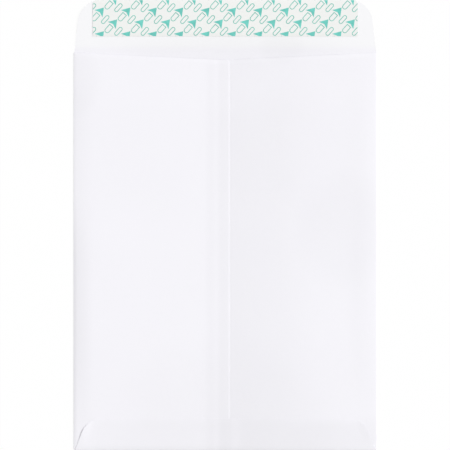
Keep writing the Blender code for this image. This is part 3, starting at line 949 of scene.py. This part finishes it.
def release_paper(colours):
    """Smooth coated release paper, with the adhesive's streaks showing faintly through it."""
    paint = Paint("release paper")
    x, y, z = paint.parts(paint.spot)
    grain = paint.noise(paint.spot, GRAIN_SCALE)
    streaks = paint.noise(paint.vector(x * STREAK_STRETCH, y, z), STREAK_SCALE, detail=1)
    share = (grain - 0.5) * GRAIN_SHARE + (streaks - 0.5) * STREAK_SHARE + LINER_SHADE
    share = paint.smaller(paint.larger(share, 0), 1)
    paint.set(Base_Color=paint.mix(share, colours.liner, darker(colours.liner, LINER_DARKNESS)))
    paint.set(Roughness=LINER_ROUGHNESS + (grain - 0.5) * LINER_ROUGHNESS_SPREAD, IOR=COATED_IOR)
    paint.set(Normal=paint.bump(streaks * STREAK_HEIGHT + grain * GRAIN_HEIGHT, LINER_BUMP))
    return paint.material


def print_ink(name, tint):
    """Thin flat ink that took unevenly on the coated paper."""
    paint = Paint(name)
    patches = paint.noise(paint.spot, PATCH_SCALE)
    specks = paint.noise(paint.spot, SPECK_SCALE)
    share = paint.smooth(patches * PATCH_SHARE + specks * SPECK_SHARE, INK_START, INK_END)
    paint.set(Base_Color=paint.mix(share, darker(tint, INK_UNEVENNESS), tint))
    paint.set(Roughness=INK_ROUGHNESS + (specks - 0.5) * INK_ROUGHNESS_SPREAD, IOR=COATED_IOR)
    paint.set(Normal=paint.bump(specks * SPECK_HEIGHT, INK_BUMP))
    return paint.material


def dried_glue(name, tint, roughness):
    """Clear to cream adhesive with the marks of the roller that spread it."""
    paint = Paint(name)
    x, y, z = paint.parts(paint.spot)
    ribs = paint.noise(paint.vector(x, y * RIB_STRETCH, z), RIB_SCALE)
    paint.set(Base_Color=paint.mix(ribs, tint, darker(tint, RIB_DARKNESS)))
    paint.set(Roughness=roughness + (ribs - 0.5) * RIB_ROUGHNESS_SPREAD, IOR=GLUE_IOR)
    paint.set(Normal=paint.bump(ribs * RIB_HEIGHT, GLUE_BUMP))
    return paint.material


# Print


def even_count(span, pitch):
    """The smallest even number of pitches that covers the span."""
    return 2.0 * ceil(span / pitch / 2)


def print_numbers(closure):
    """The print tree's inputs and their values."""
    size = LINER_HIGH - LINER_LOW
    return {
        "Columns": even_count(size.x, closure.motif_pitch) + SPARE_COLUMNS,
        "Rows": even_count(size.y, closure.row_pitch) + SPARE_ROWS,
        "Motif pitch": closure.motif_pitch,
        "Row pitch": closure.row_pitch,
        "Centre Y": (LINER_LOW.y + LINER_HIGH.y) / 2,
        "Angle": closure.motif_angle,
    }


def print_tree(numbers):
    """Sets a flat motif out in rows, each second row shifted by half a pitch."""
    tree = GeometryTree("Set out print", numbers)
    n = tree.numbers
    columns = tree.wire(tree.add("FunctionNodeFloatToInt", None, {0: n["Columns"]}))
    rows = tree.wire(tree.add("FunctionNodeFloatToInt", None, {0: n["Rows"]}))
    width = (n["Columns"] - 1) * n["Motif pitch"]
    height = (n["Rows"] - 1) * n["Row pitch"]
    sockets = {"Size X": width, "Size Y": height, "Vertices X": columns, "Vertices Y": rows}
    grid = tree.wire(tree.add("GeometryNodeMeshGrid", None, sockets))
    y = tree.parts(tree.wire(tree.add("GeometryNodeInputPosition")))[1]
    row = tree.maths("ROUND", (y + height / 2) / n["Row pitch"])
    shift = (row % 2 - 0.5) * n["Motif pitch"] / 2
    moved = {"Geometry": grid, "Offset": tree.vector(shift, n["Centre Y"], 0)}
    points = tree.wire(tree.add("GeometryNodeSetPosition", None, moved))
    turn = tree.vector(0, 0, n["Angle"])
    sockets = {"Points": points, "Instance": tree.wire(tree.given, "Geometry"), "Rotation": turn}
    return tree.finish(tree.wire(tree.add("GeometryNodeInstanceOnPoints", None, sockets)))


def motif_piece(name, faces):
    """A new object that holds one flat motif, as faces given by their corners."""
    form = bmesh.new()
    for corners in faces:
        form.faces.new([form.verts.new((x, y, 0)) for x, y in corners])
    bmesh.ops.remove_doubles(form, verts=form.verts[:], dist=MERGE)
    return new_object(name, form)


def half_round(x, y, radius, start):
    """Half a circle about a point, anticlockwise from the angle start."""
    angles = [start + pi * step / END_STEPS for step in range(END_STEPS + 1)]
    return [(x + radius * cos(angle), y + radius * sin(angle)) for angle in angles]


def shaft_outline(closure, inset):
    """An arrow's shaft, square behind the head and round at its tail, moved in by inset."""
    radius = closure.shaft_width / 2 - inset
    front = -closure.head_notch - inset
    tail = half_round(closure.shaft_width / 2 - closure.shaft_length, 0, radius, pi / 2)
    return [(front, -radius), (front, radius)] + tail


def bar_outline(closure, inset):
    """The bar beside an arrow, round at both ends, moved in by inset."""
    radius = closure.bar_width / 2 - inset
    half = (closure.bar_length - closure.bar_width) / 2
    tail = half_round(-closure.bar_behind - half, closure.bar_beside, radius, pi / 2)
    return tail + half_round(half - closure.bar_behind, closure.bar_beside, radius, -pi / 2)


def line_faces(closure):
    """The lines round an arrow's shaft and round the bar beside it, as rings of faces."""
    faces = []
    for outline in (shaft_outline, bar_outline):
        outer, inner = outline(closure, 0), outline(closure, closure.line_width)
        faces += [[outer[i - 1], outer[i], inner[i], inner[i - 1]] for i in range(len(outer))]
    return faces


def head_faces(closure):
    """An arrow's head, with a notched back."""
    tip, half, notch = closure.head_length, closure.head_width / 2, closure.head_notch
    return [
        [(0, 0), (-notch, -half), (tip - notch, 0)],
        [(0, 0), (tip - notch, 0), (-notch, half)],
    ]


def clipped(piece, outline):
    """Cuts away what reaches past a convex outline, and gives the flat mesh as a bmesh."""
    form = bmesh.new()
    form.from_mesh(piece.data)
    for index, corner in enumerate(outline):
        along = corner - outline[index - 1]
        outwards = (along.y, -along.x, 0)
        everything = form.verts[:] + form.edges[:] + form.faces[:]
        bmesh.ops.bisect_plane(
            form, geom=everything, dist=MERGE, plane_co=(*corner, 0), plane_no=outwards, clear_outer=True
        )
    return form


def liner_outline(closure, inset):
    """The liner's outline, round at the flap's two corners, moved in by inset."""
    low, high, radius = LINER_LOW.xy, LINER_HIGH.xy, closure.liner_corner - inset
    low, high = low + Vector((inset, inset)), high - Vector((inset, inset))
    return rounded([(*low, 0), (high.x, low.y, 0), (*high, radius), (low.x, high.y, radius)])


def liner_grid(closure):
    """Lines that the liner and its print are cut along, so that they bend alike."""
    rim = spread(0, closure.rim_width, closure.rim_width / RIM_STEPS)[1:]
    rows = spread(LINER_LOW.y + closure.rim_width, LINER_HIGH.y - closure.rim_width, WIDE_SPACING)
    rows += [LINER_LOW.y + step for step in rim] + [LINER_HIGH.y - step for step in rim]
    return spread(LINER_LOW.x, LINER_HIGH.x, WIDE_SPACING)[1:-1], rows


def lay_rims(piece, closure, drop):
    """Lets the liner's rims, which have no adhesive under them, lie down on the paper."""
    for vert in piece.data.vertices:
        from_rim = min(vert.co.y - LINER_LOW.y, LINER_HIGH.y - vert.co.y)
        vert.co.z -= drop * (1 - smooth_step(from_rim / closure.rim_width))
    return piece


# Operators


class ENVELOPE_OT_fold_paper(bpy.types.Operator):
    """Cut the paper blank and fold it into the envelope"""

    bl_idname = "envelope.fold_paper"
    bl_label = "Fold Paper"

    def execute(self, context):
        sizes, wear = context.scene.envelope_sizes, context.scene.envelope_wear
        at = places(sizes)
        columns, rows = blank_columns(sizes, wear, at), blank_rows(at)
        piece = flat_piece("folded_paper", blank_outline(sizes, at), columns, rows, 0, sizes.paper)
        folded(piece, wove_paper(context.scene.envelope_colours, sizes, at))
        settle(piece, "white_paper", "envelope_sheet")
        return {"FINISHED"}


class ENVELOPE_OT_lay_glue(bpy.types.Operator):
    """Lay the glue films that hold the centre seam and the bottom flap"""

    bl_idname = "envelope.lay_glue"
    bl_label = "Lay Glue"

    def execute(self, context):
        sizes, wear = context.scene.envelope_sizes, context.scene.envelope_wear
        at = places(sizes)
        level = at.half_paper + sizes.gap + sizes.glue / 2
        finish = dried_glue("dried glue", context.scene.envelope_colours.glue, GLUE_ROUGHNESS)
        columns, rows = blank_columns(sizes, wear, at), blank_rows(at)
        seam = flat_piece("seam_glue", seam_glue_outline(at), [], rows, -level, sizes.glue)
        settle(folded(seam, finish), "seam_glue", "centre_seam_glue")
        flap = flat_piece("bottom_glue", seal_glue_outline(sizes, at), columns, [], level, sizes.glue)
        settle(folded(flap, finish), "seam_glue", "bottom_flap_glue")
        return {"FINISHED"}


class ENVELOPE_OT_lay_closure(bpy.types.Operator):
    """Lay the adhesive strip and its release liner on the top flap"""

    bl_idname = "envelope.lay_closure"
    bl_label = "Lay Closure"

    def execute(self, context):
        scene = context.scene
        sizes, closure = scene.envelope_sizes, scene.envelope_closure
        at = places(sizes)
        columns, rows = liner_grid(closure)
        level = at.half_paper + sizes.gap + closure.strip_thickness / 2
        outline = rectangle(*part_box("adhesive_strip"))
        strip = flat_piece("closing_strip", outline, columns, rows, level, closure.strip_thickness)
        tint = scene.envelope_colours.adhesive
        finish = dried_glue("pressure-sensitive adhesive", tint, ADHESIVE_ROUGHNESS)
        settle(folded(strip, finish), "adhesive", "adhesive_strip")
        level += (closure.strip_thickness + closure.liner_thickness) / 2 + sizes.gap
        outline = liner_outline(closure, 0)
        liner = flat_piece("peel_liner", outline, columns, rows, level, closure.liner_thickness)
        lay_rims(liner, closure, closure.strip_thickness + sizes.gap)
        settle(folded(liner, release_paper(scene.envelope_colours)), "liner_paper", "release_liner")
        return {"FINISHED"}


class ENVELOPE_OT_print_liner(bpy.types.Operator):
    """Print rows of plain arrows and bars on the liner"""

    bl_idname = "envelope.print_liner"
    bl_label = "Print Liner"

    def execute(self, context):
        scene = context.scene
        sizes, closure, colours = scene.envelope_sizes, scene.envelope_closure, scene.envelope_colours
        at = places(sizes)
        numbers = print_numbers(closure)
        tree = bpy.data.node_groups.get("Set out print") or print_tree(numbers)
        # One gap lies under the strip, one under the liner and one under the ink
        level = at.half_paper + 3 * sizes.gap + closure.strip_thickness + closure.liner_thickness
        inks = (
            ("print_lines", line_faces, "line print", colours.line_ink),
            ("arrow_heads", head_faces, "solid print", colours.solid_ink),
        )
        for name, faces, finish_name, tint in inks:
            finish = print_ink(finish_name, tint)
            motif = made_by(tree, motif_piece(name, faces(closure)), finish, numbers)
            form = clipped(motif, liner_outline(closure, PRINT_MARGIN))
            bpy.data.objects.remove(motif)
            cut_along(form, *liner_grid(closure))
            piece = thickened(name, form, level, closure.ink)
            lay_rims(piece, closure, closure.strip_thickness + sizes.gap)
            settle(folded(piece, finish), "liner_paper")
        return {"FINISHED"}


class ENVELOPE_OT_set_stage(bpy.types.Operator):
    """Set the pale floor, the soft light and the camera above the envelope"""

    bl_idname = "envelope.set_stage"
    bl_label = "Set Stage"

    def execute(self, context):
        scene = context.scene
        stage = scene.envelope_stage
        scene.view_settings.view_transform = "Standard"
        add_floor()
        add_sky(scene, stage.sky)
        add_lamp(scene, stage.lamp)
        add_camera(scene, stage.lens)
        return {"FINISHED"}


def seen_directly(tree):
    """1 for what the camera sees itself, in a reflection or through glass, and 0 for light."""
    path = tree.add("ShaderNodeLightPath")
    seen = tree.larger(tree.wire(path, "Is Camera Ray"), tree.wire(path, "Is Glossy Ray"))
    return tree.larger(seen, tree.wire(path, "Is Transmission Ray"))


def add_floor():
    """A pale floor that keeps the object's shadow."""
    form = bmesh.new()
    bmesh.ops.create_grid(form, x_segments=1, y_segments=1, size=FLOOR_HALF)
    bmesh.ops.translate(form, verts=form.verts[:], vec=(0, 0, FLOOR_LEVEL))
    floor = new_object("floor", form)
    paint = Paint("pale floor")
    paint.set(Base_Color=(*FLOOR_COLOUR, 1), Roughness=1.0)
    paint.shader.inputs["Specular IOR Level"].default_value = 0
    glow = paint.add("ShaderNodeEmission", None, {"Color": (1, 1, 1, 1), "Strength": 1.0})
    share = seen_directly(paint) * FLOOR_WHITE_SHARE
    sockets = {0: share, 1: paint.wire(paint.shader), 2: paint.wire(glow)}
    mixed = paint.add("ShaderNodeMixShader", None, sockets)
    output = paint.tree.nodes["Material Output"]
    paint.tree.links.new(mixed.outputs[0], output.inputs["Surface"])
    floor.data.materials.append(paint.material)


def add_sky(scene, strength):
    """Even light from all round, which looks plain white to the camera."""
    world = bpy.data.worlds.new("studio")
    world.use_nodes = True
    scene.world = world
    tree = Tree(world.node_tree)
    background = world.node_tree.nodes["Background"]
    background.inputs["Color"].default_value = (1, 1, 1, 1)
    level = strength + seen_directly(tree) * (1 - strength)
    world.node_tree.links.new(level.socket, background.inputs["Strength"])


def add_lamp(scene, strength):
    """A large soft lamp low at the right."""
    light = bpy.data.lights.new("side lamp", "SUN")
    light.energy = strength
    light.angle = LAMP_ANGLE
    lamp = bpy.data.objects.new("side lamp", light)
    towards = Vector(
        (
            cos(LAMP_ELEVATION) * cos(LAMP_AZIMUTH),
            cos(LAMP_ELEVATION) * sin(LAMP_AZIMUTH),
            sin(LAMP_ELEVATION),
        )
    )
    lamp.location = towards * LAMP_DISTANCE
    lamp.rotation_euler = towards.to_track_quat("Z", "Y").to_euler()
    scene.collection.objects.link(lamp)


def add_camera(scene, lens):
    """Straight above the envelope, framed as the photograph is."""
    data = bpy.data.cameras.new("camera")
    data.lens = lens
    data.sensor_width = SENSOR_WIDTH
    view_width = PHOTO_PIXELS * PIXEL_LENGTH
    camera = bpy.data.objects.new("camera", data)
    distance = view_width * data.lens / data.sensor_width
    camera.location = CAMERA_AIM + Vector((0, 0, distance))
    data.clip_end = 2 * distance
    scene.collection.objects.link(camera)
    scene.camera = camera


class VIEW3D_PT_envelope(bpy.types.Panel):
    """Sizes, colours and steps of the envelope"""

    bl_idname = "VIEW3D_PT_envelope"
    bl_label = "Catalog Envelope"
    bl_space_type = "VIEW_3D"
    bl_region_type = "UI"
    bl_category = "Envelope"

    def draw(self, context):
        for operator in OPERATORS:
            self.layout.operator(operator.bl_idname)
        for name, group in GROUPS.items():
            box = self.layout.box()
            for prop in group.__annotations__:
                box.prop(getattr(context.scene, name), prop)


GROUPS = {
    "envelope_sizes": EnvelopeSizes,
    "envelope_wear": WearSizes,
    "envelope_closure": ClosureSizes,
    "envelope_colours": FinishColours,
    "envelope_stage": StageSettings,
}
OPERATORS = (
    ENVELOPE_OT_fold_paper,
    ENVELOPE_OT_lay_glue,
    ENVELOPE_OT_lay_closure,
    ENVELOPE_OT_print_liner,
    ENVELOPE_OT_set_stage,
)


def register():
    for kind in (*GROUPS.values(), *OPERATORS, VIEW3D_PT_envelope):
        bpy.utils.register_class(kind)
    for name, group in GROUPS.items():
        setattr(bpy.types.Scene, name, bpy.props.PointerProperty(type=group))


def unregister():
    for name in GROUPS:
        delattr(bpy.types.Scene, name)
    for kind in reversed((*GROUPS.values(), *OPERATORS, VIEW3D_PT_envelope)):
        bpy.utils.unregister_class(kind)


def main():
    register()
    bpy.ops.envelope.fold_paper()
    bpy.ops.envelope.lay_glue()
    bpy.ops.envelope.lay_closure()
    bpy.ops.envelope.print_liner()
    bpy.ops.envelope.set_stage()


if __name__ == "__main__":
    main()
